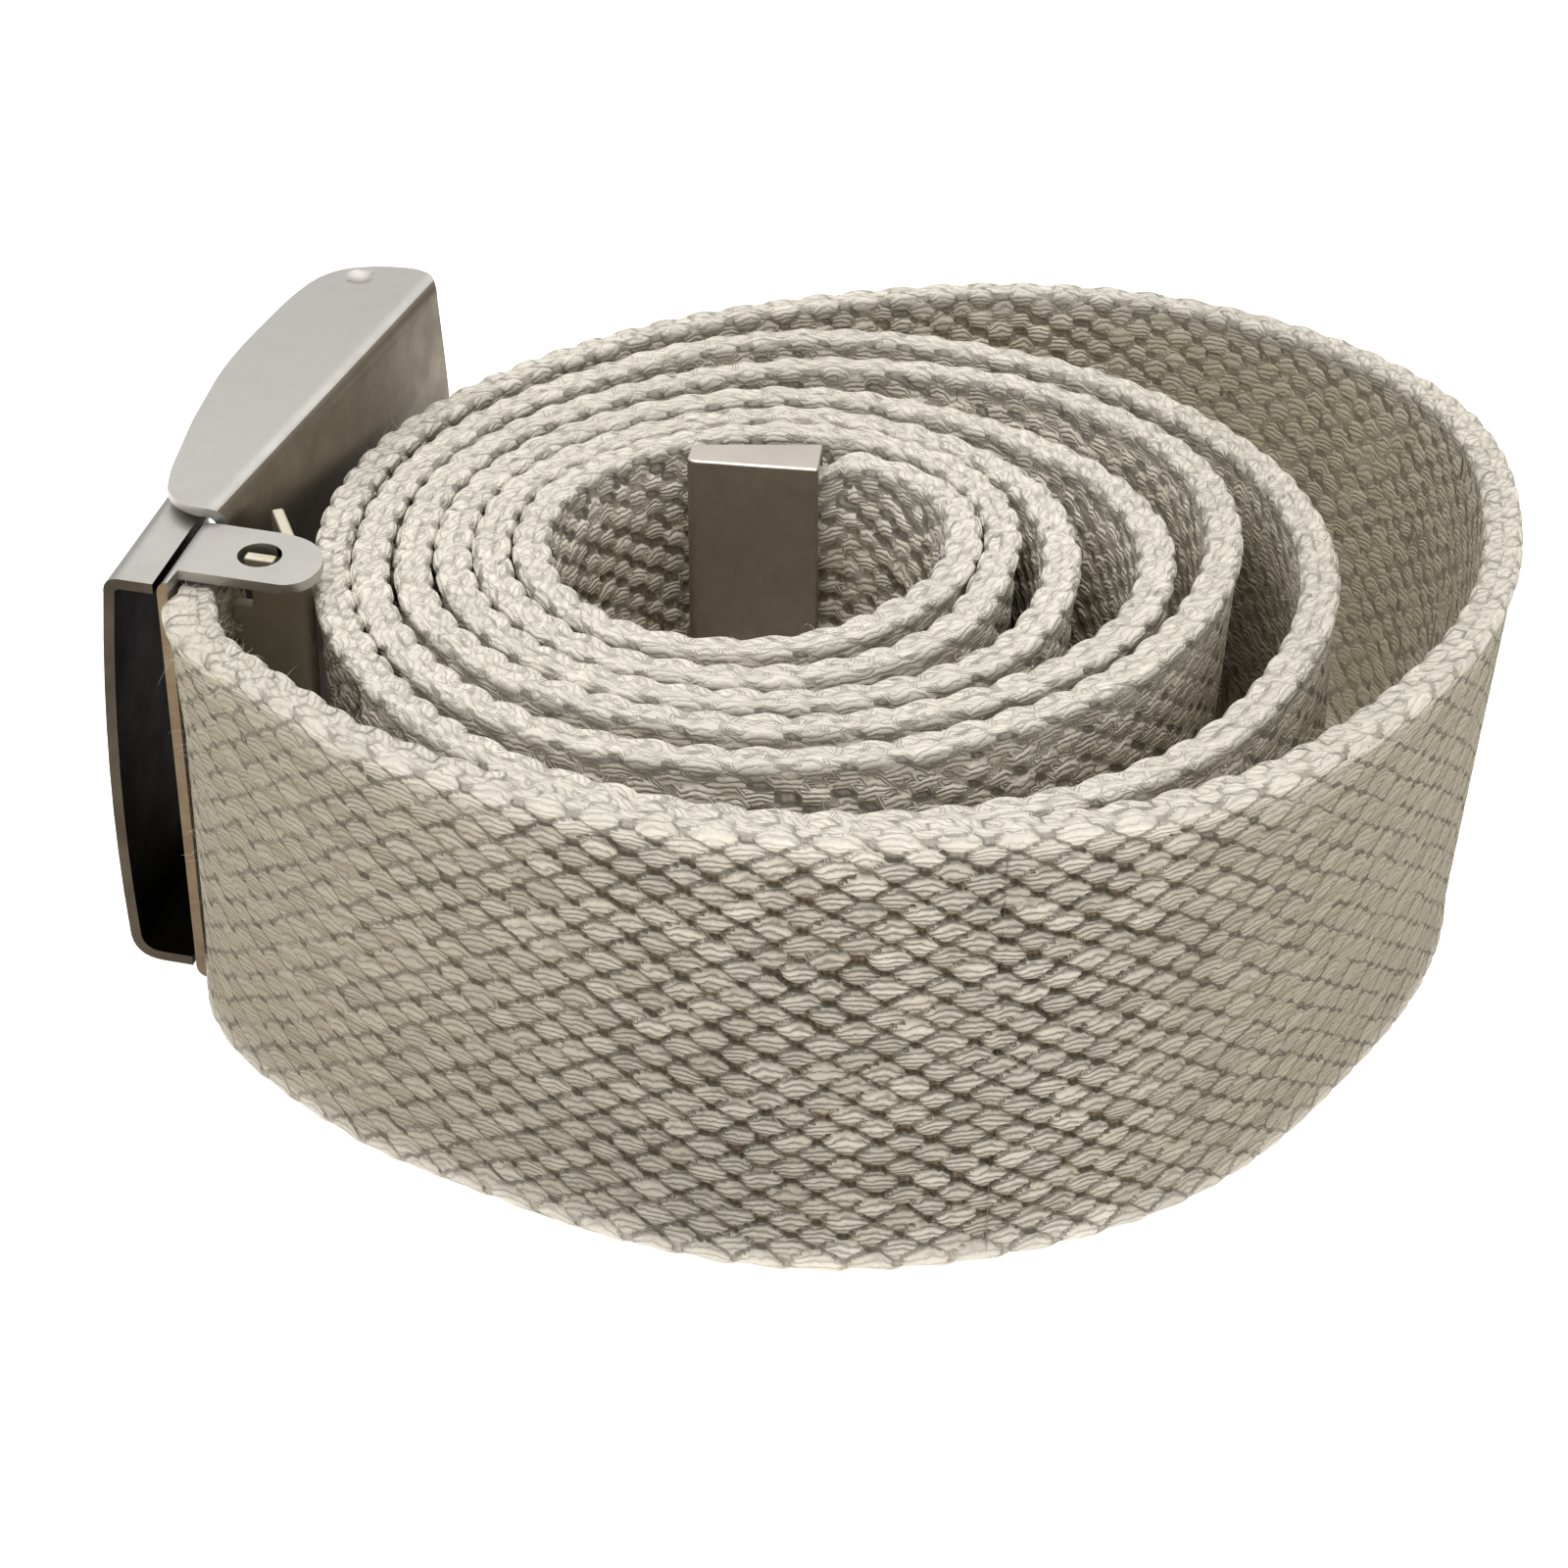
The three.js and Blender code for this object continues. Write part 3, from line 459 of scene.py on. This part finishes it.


# Undyed cotton, woven: soft and matt, cream on the crests, with fine plied strands that part in dark
# lines of painted shade, and a browner weft in fine ribs at the bottom of the pits, where the grooves
# are darkened further as painted shade.
def cotton_webbing():
    cotton = new_material("undyed cotton, woven as thick webbing")
    relief, strand, tone, rim, pale, painted_light_and_shade, fluff, weft = (
        add(cotton, "ShaderNodeAttribute", attribute_name=key).outputs["Fac"]
        for key in ("relief", "strand", "tone", "rim", "pale", "painted_light_and_shade", "fluff", "weft"))
    place = add(cotton, "ShaderNodeTexCoord").outputs["Object"]
    # Tufts of fibres 0.45 mm across, drawn far coarser than a cotton fibre so that they show, bends
    # of the strands 1.2 mm across and patches 14 mm across
    fibres = add(cotton, "ShaderNodeTexNoise", {
        "Vector": place, "Scale": 2.2 / MM, "Detail": 3.0, "Roughness": 0.65})
    bent = add(cotton, "ShaderNodeTexNoise", {"Vector": place, "Scale": 0.85 / MM, "Detail": 2.0})
    patches = add(cotton, "ShaderNodeTexNoise", {"Vector": place, "Scale": 0.07 / MM, "Detail": 2.0})

    # Strands: a dark parting at each whole number of the strand count, made uneven by the fibres; the
    # partings are painted shade and the ridges between them a painted highlight
    bent_strand = add(cotton, "ShaderNodeMath", {0: bent, 1: 1.6, 2: strand}, operation="MULTIPLY_ADD")
    uneven = add(cotton, "ShaderNodeMath", {0: fibres, 1: 0.5, 2: bent_strand}, operation="MULTIPLY_ADD")
    strand_turn = add(cotton, "ShaderNodeMath", {0: uneven, 1: np.pi}, operation="MULTIPLY")
    strand_sine = add(cotton, "ShaderNodeMath", {0: strand_turn}, operation="SINE")
    strand_wave = add(cotton, "ShaderNodeMath", {0: strand_sine}, operation="ABSOLUTE")
    narrowing = add(cotton, "ShaderNodeMapRange", {
        "Value": bent, "From Min": 0.35, "From Max": 0.65, "To Min": 0.35, "To Max": 1.3})
    ridge = add(cotton, "ShaderNodeMath", {0: strand_wave, 1: narrowing}, operation="POWER")
    on_grain = add(cotton, "ShaderNodeMapRange", {"Value": relief, "From Min": 0.15, "From Max": 0.5})
    soft = add(cotton, "ShaderNodeMath", {0: fluff, 1: rim}, operation="MAXIMUM")
    parting = add(cotton, "ShaderNodeMapRange", {"Value": soft, "To Min": 0.5, "To Max": 0.87})
    contrast = add(cotton, "ShaderNodeMath", {0: 1.12, 1: parting}, operation="SUBTRACT")
    strand_shade = add(cotton, "ShaderNodeMath", {0: ridge, 1: contrast, 2: parting},
                       operation="MULTIPLY_ADD")

    # The weft's ribs, one to each 0.43 mm along the strap, with painted light and shade across each rib
    weft_turn = add(cotton, "ShaderNodeMath", {0: weft, 1: np.pi}, operation="MULTIPLY")
    weft_sine = add(cotton, "ShaderNodeMath", {0: weft_turn}, operation="SINE")
    ribs = add(cotton, "ShaderNodeMath", {0: weft_sine}, operation="ABSOLUTE")
    rib_shade = add(cotton, "ShaderNodeMapRange", {"Value": ribs, "To Min": 0.6, "To Max": 1.2})

    body = add(cotton, "ShaderNodeValToRGB", {"Fac": relief})
    stops = body.color_ramp.elements
    while len(stops) < len(WOVEN_COLOURS):
        stops.new(1.0)
    for stop, (level, colour) in zip(stops, WOVEN_COLOURS):
        stop.position = level
        stop.color = linear(colour)

    shade = add(cotton, "ShaderNodeMix", {"Factor": on_grain, "A": rib_shade, "B": strand_shade})
    # Each of these shades the yarn: its lowest and highest value, and the share of light at each
    for value, lowest, highest, darkest, lightest in (
            (tone, 0.0, 1.0, 0.86, 1.08), (patches, 0.3, 0.7, 0.95, 1.04),
            (fibres, 0.3, 0.7, 0.9, 1.06), (pale, 0.0, 1.0, 1.0, 1.42)):
        share = add(cotton, "ShaderNodeMapRange", {
            "Value": value, "From Min": lowest, "From Max": highest,
            "To Min": darkest, "To Max": lightest})
        shade = add(cotton, "ShaderNodeMath", {0: shade, 1: share}, operation="MULTIPLY")
    woven = add(cotton, "ShaderNodeMixRGB", {"Fac": 1.0, "Color1": body, "Color2": shade},
                blend_type="MULTIPLY")
    # Paler towards the edges: partly wear, partly painted light on the inner turns' shaded upper faces
    rubbed_and_lit_share = add(cotton, "ShaderNodeMath", {0: pale, 1: 0.42}, operation="MULTIPLY")
    rubbed_and_lit = add(cotton, "ShaderNodeMixRGB", {
        "Fac": rubbed_and_lit_share, "Color1": woven, "Color2": linear("#dfdcd4")})
    covering = add(cotton, "ShaderNodeMapRange", {"Value": pale, "To Min": 0.8, "To Max": 0.2})
    hidden = add(cotton, "ShaderNodeMath", {0: fluff, 1: covering}, operation="MULTIPLY")
    covered = add(cotton, "ShaderNodeMixRGB", {
        "Fac": hidden, "Color1": rubbed_and_lit, "Color2": linear("#908875")})
    # Painted light and shade: brighter on the faces inside the coil, darker low on the outermost turn's
    # front
    painted_brightness = add(cotton, "ShaderNodeMapRange", {
        "Value": painted_light_and_shade, "From Min": -0.4, "To Min": 0.7, "To Max": 1.75})
    colour = add(cotton, "ShaderNodeVectorMath", {0: covered, "Scale": painted_brightness}, operation="SCALE")

    softened = add(cotton, "ShaderNodeMapRange", {"Value": soft, "To Min": 1.0, "To Max": 0.6})
    raised = add(cotton, "ShaderNodeMath", {0: on_grain, 1: softened}, operation="MULTIPLY")
    strand_height = add(cotton, "ShaderNodeMath", {0: ridge, 1: raised}, operation="MULTIPLY")
    height = add(cotton, "ShaderNodeMath", {0: fibres, 1: 0.7, 2: strand_height},
                 operation="MULTIPLY_ADD")
    bump = add(cotton, "ShaderNodeBump", {"Height": height, "Distance": 0.16 * MM, "Strength": 1.0})
    shader = add(cotton, "ShaderNodeBsdfPrincipled", {
        "Base Color": colour, "Normal": bump, "Roughness": 0.95,
        "Specular IOR Level": 0.12, "Sheen Weight": 0.12, "Sheen Roughness": 0.5,
        "Sheen Tint": linear("#efe8d8")})
    add(cotton, "ShaderNodeOutputMaterial", {"Surface": shader})
    return cotton


COTTON = cotton_webbing()

# Closely spaced where the outermost turn shows its face, and near every upper edge
FRONT_GIRTH = spaced((-HALF_GIRTH, -12, 1.0), (-12, -2, 0.45), (-2, 2, 0.22), (2, HALF_GIRTH, 0.2))
BACK_GIRTH = spaced((-HALF_GIRTH, -2, 0.32), (-2, 2, 0.22), (2, HALF_GIRTH, 0.42))
INNER_GIRTH = spaced((-HALF_GIRTH, -19, 1.8), (-19, -2, 0.36), (-2, 2, 0.25), (2, 13, 0.36),
                     (13, HALF_GIRTH, 1.8))
# name, start and end along the strap, spacing along it, girth positions, depths beyond which the
# inner and the outer face are plain
LENGTHS = [
    ("webbing_outer_left", 0, 75, 0.25, FRONT_GIRTH, (10, 99)),
    ("webbing_outer_front", 75, 150, 0.25, FRONT_GIRTH, (10, 99)),
    ("webbing_outer_back", 150, OUTER_TURN_END, 0.34, BACK_GIRTH, (99, 99)),
    ("webbing_second_turn", OUTER_TURN_END, 640, 0.55, INNER_GIRTH, (16, 10)),
    ("webbing_middle_turns", 640, 990, 0.55, INNER_GIRTH, (16, 10)),
    ("webbing_inner_turns", 990, STRAP_LENGTH, 0.5, INNER_GIRTH, (16, 10)),
]
for name, start, end, step, girth, plain in LENGTHS:
    length = strap_length(name, start, end, step, girth, plain)
    length.data.materials.append(COTTON)
    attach(length, "belt")
    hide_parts("webbing")

# The metal: pressed from steel sheet and nickel plated, tumbled to a soft satin. Each piece is the
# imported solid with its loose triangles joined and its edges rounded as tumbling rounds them.


def rounded_copy(node, radius):
    """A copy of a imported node, merged, its flat faces made whole, with edges rounded by radius (mm)."""
    piece = bpy.data.objects.new(node + "_plated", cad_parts[node].data.copy())
    piece.data.materials.clear()
    bpy.context.scene.collection.objects.link(piece)
    joined = bmesh.new()
    joined.from_mesh(piece.data)
    bmesh.ops.remove_doubles(joined, verts=joined.verts, dist=0.002 * MM)
    bmesh.ops.dissolve_limit(joined, angle_limit=radians(0.6), verts=joined.verts, edges=joined.edges)
    joined.to_mesh(piece.data)
    joined.free()
    piece.data.polygons.foreach_set("use_smooth", np.ones(len(piece.data.polygons), bool))
    bevel = piece.modifiers.new("tumbled edges", "BEVEL")
    bevel.width = radius * MM
    bevel.segments = 3
    bevel.limit_method = "ANGLE"
    bevel.angle_limit = radians(32)
    flat = piece.modifiers.new("flat faces stay flat", "WEIGHTED_NORMAL")
    flat.weight = 100
    flat.keep_sharp = True
    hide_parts(node)
    return piece


# Nickel plate on pressed steel, tumbled: a pale warm grey metal whose satin skin has faint cloudy
# patches and fine handling scratches, duller where it is rubbed. Bare steel, where the sheet is
# sheared, is the same skin in browner colours. Darker copies of it are painted shade inside the closed
# bends and on the lid's web, and lighter copies are painted light on the clamp and on the tip's top.
def nickel(name, colour, dull_colour, roughness):
    metal = new_material(name)
    place = add(metal, "ShaderNodeTexCoord").outputs["Object"]
    # Clouds 4 mm across, grit 0.25 mm across, scratches 1.1 mm long and 0.11 mm wide
    clouds = add(metal, "ShaderNodeTexNoise", {
        "Vector": place, "Scale": 0.26 / MM, "Detail": 4.0, "Roughness": 0.6})
    grit = add(metal, "ShaderNodeTexNoise", {"Vector": place, "Scale": 4 / MM, "Detail": 2.0})
    stretched = add(metal, "ShaderNodeMapping", {
        "Vector": place, "Scale": (0.9 / MM, 9 / MM, 0.9 / MM), "Rotation": (0.3, 0.2, 0.6)})
    scratches = add(metal, "ShaderNodeTexNoise", {"Vector": stretched, "Scale": 1.0, "Detail": 2.0})
    cloudy = add(metal, "ShaderNodeMapRange", {"Value": clouds, "From Min": 0.3, "From Max": 0.7})
    clouded = add(metal, "ShaderNodeMixRGB", {
        "Fac": cloudy, "Color1": linear(dull_colour), "Color2": linear(colour)})
    rough = add(metal, "ShaderNodeMapRange", {
        "Value": clouds, "From Min": 0.3, "From Max": 0.7,
        "To Min": roughness + 0.08, "To Max": roughness - 0.05})
    height = add(metal, "ShaderNodeMath", {0: scratches, 1: 0.5, 2: grit}, operation="MULTIPLY_ADD")
    bump = add(metal, "ShaderNodeBump", {"Height": height, "Distance": 0.01 * MM, "Strength": 0.35})
    shader = add(metal, "ShaderNodeBsdfPrincipled", {
        "Base Color": clouded, "Normal": bump, "Metallic": 1.0, "Roughness": rough})
    add(metal, "ShaderNodeOutputMaterial", {"Surface": shader})
    return metal


SATIN_NICKEL = nickel("nickel plated steel, tumbled satin", "#b8b5b0", "#adaaa4", 0.44)
# Painted shade: a darker copy for the lid's web, which faces the coil
PAINTED_SHADE_NICKEL = nickel("nickel plated steel, painted shade", "#857b6c", "#776d5e", 0.46)
DULL_NICKEL = nickel("nickel plated steel, dull", "#aaa095", "#94897d", 0.45)
# Painted light: the clamp is lighter than the other nickel, against the shade of the parts round it
LIGHTENED_CLAMP_NICKEL = nickel("nickel plated steel, spring sheet, painted lighter", "#d2cbb8", "#bdb5a2", 0.5)
# Painted highlight: a brighter copy for the tip cap's top, which faces the light above
LIT_TOP_NICKEL = nickel("nickel plated steel, painted highlight", "#ece3d9", "#ddd3c8", 0.38)
SHEARED_STEEL = nickel("steel sheet, sheared edge", "#7a6a54", "#6a5a46", 0.5)
STAINED_STEEL = nickel("steel sheet, sheared edge, stained", "#4f463b", "#423a30", 0.5)
# Painted shade: near black for the faces inside the loop, where shade falls
PAINTED_SHADE_INSIDE = nickel("steel sheet, painted shade inside the bends", "#15120f", "#0f0d0b", 0.6)


def buckle_faces(piece):
    """Each face's middle and normal in the buckle's own frame, in millimetres."""
    faces = piece.data.polygons
    middles, normals = np.zeros(3 * len(faces)), np.zeros(3 * len(faces))
    faces.foreach_get("center", middles)
    faces.foreach_get("normal", normals)
    local = (middles.reshape(-1, 3) / MM - BUCKLE_CORNER) @ BUCKLE_TURN
    return local.T, (normals.reshape(-1, 3) @ BUCKLE_TURN).T


def second_finish(piece, faces, finish):
    """Gives the chosen faces another finish."""
    numbers = np.zeros(len(faces), np.int32)
    piece.data.polygons.foreach_get("material_index", numbers)
    numbers[faces] = len(piece.data.materials)
    piece.data.materials.append(finish)
    piece.data.polygons.foreach_set("material_index", numbers)


# name, body, slot, edge rounding (mm), finish
METAL = [
    ("tip_cap", "belt", "tip_steel", 0.4, DULL_NICKEL),
    ("loop_shell", "belt", "shell_steel", 0.12, SATIN_NICKEL),
    ("back_plate", "belt", "plate_steel", 0.12, SATIN_NICKEL),
    ("clamp_lever", "belt", "clamp_steel", 0.2, LIGHTENED_CLAMP_NICKEL),
    ("lid_pin", "belt", "pin_steel", 0.08, SATIN_NICKEL),
    ("lid", "lid", "lid_steel", 0.12, SATIN_NICKEL),
]
for node, body, slot, radius, finish in METAL:
    piece = rounded_copy(node, radius)
    piece.data.materials.append(finish)
    (x, y, z), (normal_x, normal_y, normal_z) = buckle_faces(piece)
    if node == "tip_cap":
        # Its top is painted bright, a painted highlight where the light from above falls
        second_finish(piece, normal_z > 0.9, LIT_TOP_NICKEL)
    if node == "loop_shell":
        # The inside of its wall, of its top and of its bottom, painted near black as painted shade, and
        # the cut edge at its near end
        second_finish(piece, normal_x > 0.3, PAINTED_SHADE_INSIDE)
        second_finish(piece, (normal_z < -0.6) & (z > -10) | (normal_z > 0.6) & (z < -25), PAINTED_SHADE_INSIDE)
        second_finish(piece, normal_y < -0.8, STAINED_STEEL)
    if node == "lid":
        # The outside of its web, which the open lid turns towards the coil, painted darker as painted
        # shade
        second_finish(piece, normal_x > 0.6, PAINTED_SHADE_NICKEL)
    if node == "back_plate":
        # The side inside the loop, painted near black as painted shade, and the cut edge at its near end
        # between its two ears
        second_finish(piece, normal_x < -0.6, PAINTED_SHADE_INSIDE)
        second_finish(piece, (normal_y < -0.6) & (x < 1) & (z < -1) & (z > -33), SHEARED_STEEL)
    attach(piece, body)

# Loose cotton fibres that stand off the strap's edges, and off its face beside the buckle, where
# handling has fluffed the yarn.

FIBRE_RINGS = 8
FIBRE_RADIUS = 0.012


def loose_fibres(name, starts, outward, forward, length, radius, draws):
    """Thin curled tubes. With w the share of the way along one, it follows w times its first
    direction, w2 times its bend and the sine of w times its turns along a third; its rings have
    three points and a triangle closes each end."""
    way = unit(outward * (0.25 + 0.7 * draws[:, :1]) + forward * (draws[:, 1:2] - 0.5) * 2.6
               + (draws[:, 2:5] - 0.5) * 1.2)
    bend = (draws[:, 5:8] - 0.5) * 1.5
    curl = unit(draws[:, 8:11] - 0.5) * (0.1 + 0.28 * draws[:, 11:12])
    w = np.linspace(0, 1, FIBRE_RINGS)[None, :, None]
    turns = 3 + 5 * draws[:, 12:13, None]
    line = starts[:, None] + length[:, None, None] * (
        w * way[:, None] + w * w * bend[:, None] + np.sin(turns * w) * curl[:, None])
    along = unit(np.gradient(line, axis=1))
    beside = unit(np.cross(along, [0.31, 0.52, 0.79]))
    third = np.cross(along, beside)
    turn = np.arange(3) * 2 * np.pi / 3
    thick = radius * (1 - 0.7 * w**2)
    rings = line[:, :, None] + thick[:, :, None] * (
        np.cos(turn)[None, None, :, None] * beside[:, :, None]
        + np.sin(turn)[None, None, :, None] * third[:, :, None])
    number = np.arange(len(starts) * FIBRE_RINGS * 3).reshape(-1, FIBRE_RINGS, 3)
    beside_number = np.roll(number, -1, axis=2)
    walls = np.stack([number[:, :-1], beside_number[:, :-1], beside_number[:, 1:], number[:, 1:]], -1)
    ends = np.concatenate([number[:, 0, ::-1], number[:, -1]])
    return mesh_object(name, rings.reshape(-1, 3), [walls.reshape(-1, 4), ends])


FIBRE_DRAWS = np.random.default_rng(21)
# how many; from and to along the strap, from and to round its girth, shortest and longest (mm)
FIBRE_PLACES = [
    (340, (4, OUTER_TURN_END), (-2.0, 2.2), (0.5, 1.3)),
    (800, (OUTER_TURN_END, STRAP_LENGTH - 12), (-2.6, 2.6), (0.4, 1.3)),
    (300, (8, 40), (-4.0, 33.0), (0.4, 1.1)),
    (70, (8, 22), (-6.0, 4.0), (0.8, 1.9)),
    (120, (90, 125), (-5.0, 0.0), (0.6, 1.3)),
]
along, girth, length = (np.concatenate(values) for values in zip(*(
    [FIBRE_DRAWS.uniform(low, high, count) for low, high in spans]
    for count, *spans in FIBRE_PLACES)))
top, bottom, thickness, inward = strap_at(along)
out, down, normal_out, normal_down = strap_section(girth)
across_strap = unit(bottom - top)
starts = top + across_strap * down[:, None] - inward * (out[:, None] * thickness / WEB_THICKNESS)
standing = across_strap * normal_down[:, None] - inward * normal_out[:, None]
fibres = loose_fibres(
    "loose_fibres", starts - 0.1 * standing, standing, unit(np.cross(across_strap, inward)),
    length, FIBRE_RADIUS, FIBRE_DRAWS.random((len(along), 13)))
lint = new_material("loose cotton fibres")
lint_shader = add(lint, "ShaderNodeBsdfPrincipled", {
    "Base Color": linear("#d9d2c3"), "Roughness": 0.9, "Specular IOR Level": 0.1})
add(lint, "ShaderNodeOutputMaterial", {"Surface": lint_shader})
fibres.data.materials.append(lint)
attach(fibres, "belt")

# The table, the light and the camera: a round sheet of white opal acrylic, lit from below outside
# the coil so that the belt throws no shadow on it, under a wide soft light from above and in front.

FLOOR_RADIUS = 2000.0
FLOOR_STEPS = 160
# How far inside the outermost turn's lower edge the lit ring begins (mm)
FLOOR_INSET = 0.8
# The outermost turn's mean radius, of which its lean is taken as a share
MEAN_RADIUS = 46.0
# A fan of masked faces inside the outermost turn's lower edge and a ring of lit ones outside it; the
# directions run to 192 degrees, where the turn passes under the buckle
around = np.linspace(-150, 192, FLOOR_STEPS)
lean = np.interp(around, np.arange(-150, 181, 30), OUTER_LEAN)
inner_radii = (column_curve(TURNS, np.minimum(around, 180)) - FLOOR_INSET) * (1 - lean / MEAN_RADIUS)
lower_edge = on_coil(around, inner_radii, 0)
outwards = unit(lower_edge - [*COIL_CENTRE, 0])
rim_numbers = np.arange(FLOOR_STEPS)
next_numbers = np.roll(rim_numbers, -1)
floor = mesh_object(
    "floor", np.concatenate([lower_edge, FLOOR_RADIUS * outwards, [[*COIL_CENTRE, 0]]]),
    [np.stack([rim_numbers, rim_numbers + FLOOR_STEPS, next_numbers + FLOOR_STEPS, next_numbers], -1),
     np.stack([rim_numbers, next_numbers, np.full(FLOOR_STEPS, 2 * FLOOR_STEPS)], -1)])
for finish, lit in (("opal acrylic light table, lit", 0.75), ("opal acrylic light table, masked", 0.0)):
    white = new_material(finish)
    acrylic = add(white, "ShaderNodeBsdfPrincipled", {
        "Base Color": linear("#faf9f7"), "Roughness": 0.9, "Specular IOR Level": 0.1,
        "Emission Color": linear("#fffefc"), "Emission Strength": lit})
    add(white, "ShaderNodeOutputMaterial", {"Surface": acrylic})
    floor.data.materials.append(white)
floor.data.polygons.foreach_set("material_index", np.repeat([0, 1], FLOOR_STEPS).astype(np.int32))


def soft_light(name, size, power, place):
    """A square soft box of a size in metres at a place, facing the belt."""
    light = bpy.data.lights.new(name, "AREA")
    light.shape = "SQUARE"
    light.size = size
    light.energy = power
    box = bpy.data.objects.new(name, light)
    box.location = place
    direction = Vector((0, 0, 0.02)) - Vector(place)
    box.rotation_euler = direction.to_track_quat("-Z", "Y").to_euler()
    bpy.context.scene.collection.objects.link(box)


soft_light("soft_box_above", 0.9, 5.2, (0.0, 0.15, 0.75))
soft_light("soft_box_front", 0.6, 2.2, (-0.1, -0.55, 0.7))
world = bpy.data.worlds.new("studio")
world.use_nodes = True
world.node_tree.nodes["Background"].inputs["Color"].default_value = linear("#ffffff")
world.node_tree.nodes["Background"].inputs["Strength"].default_value = 0.52
bpy.context.scene.world = world
bpy.context.scene.view_settings.view_transform = "Standard"

# A field of 27 degrees, looking 28.8 degrees down
camera = bpy.data.cameras.new("camera")
camera.lens = 74.25
camera.sensor_width = camera.sensor_height = 36
viewer = bpy.data.objects.new("camera", camera)
viewer.location = (-0.00293, -0.21054, 0.1259)
viewer.rotation_euler = (radians(61.2), 0, 0)
bpy.context.scene.collection.objects.link(viewer)
bpy.context.scene.camera = viewer
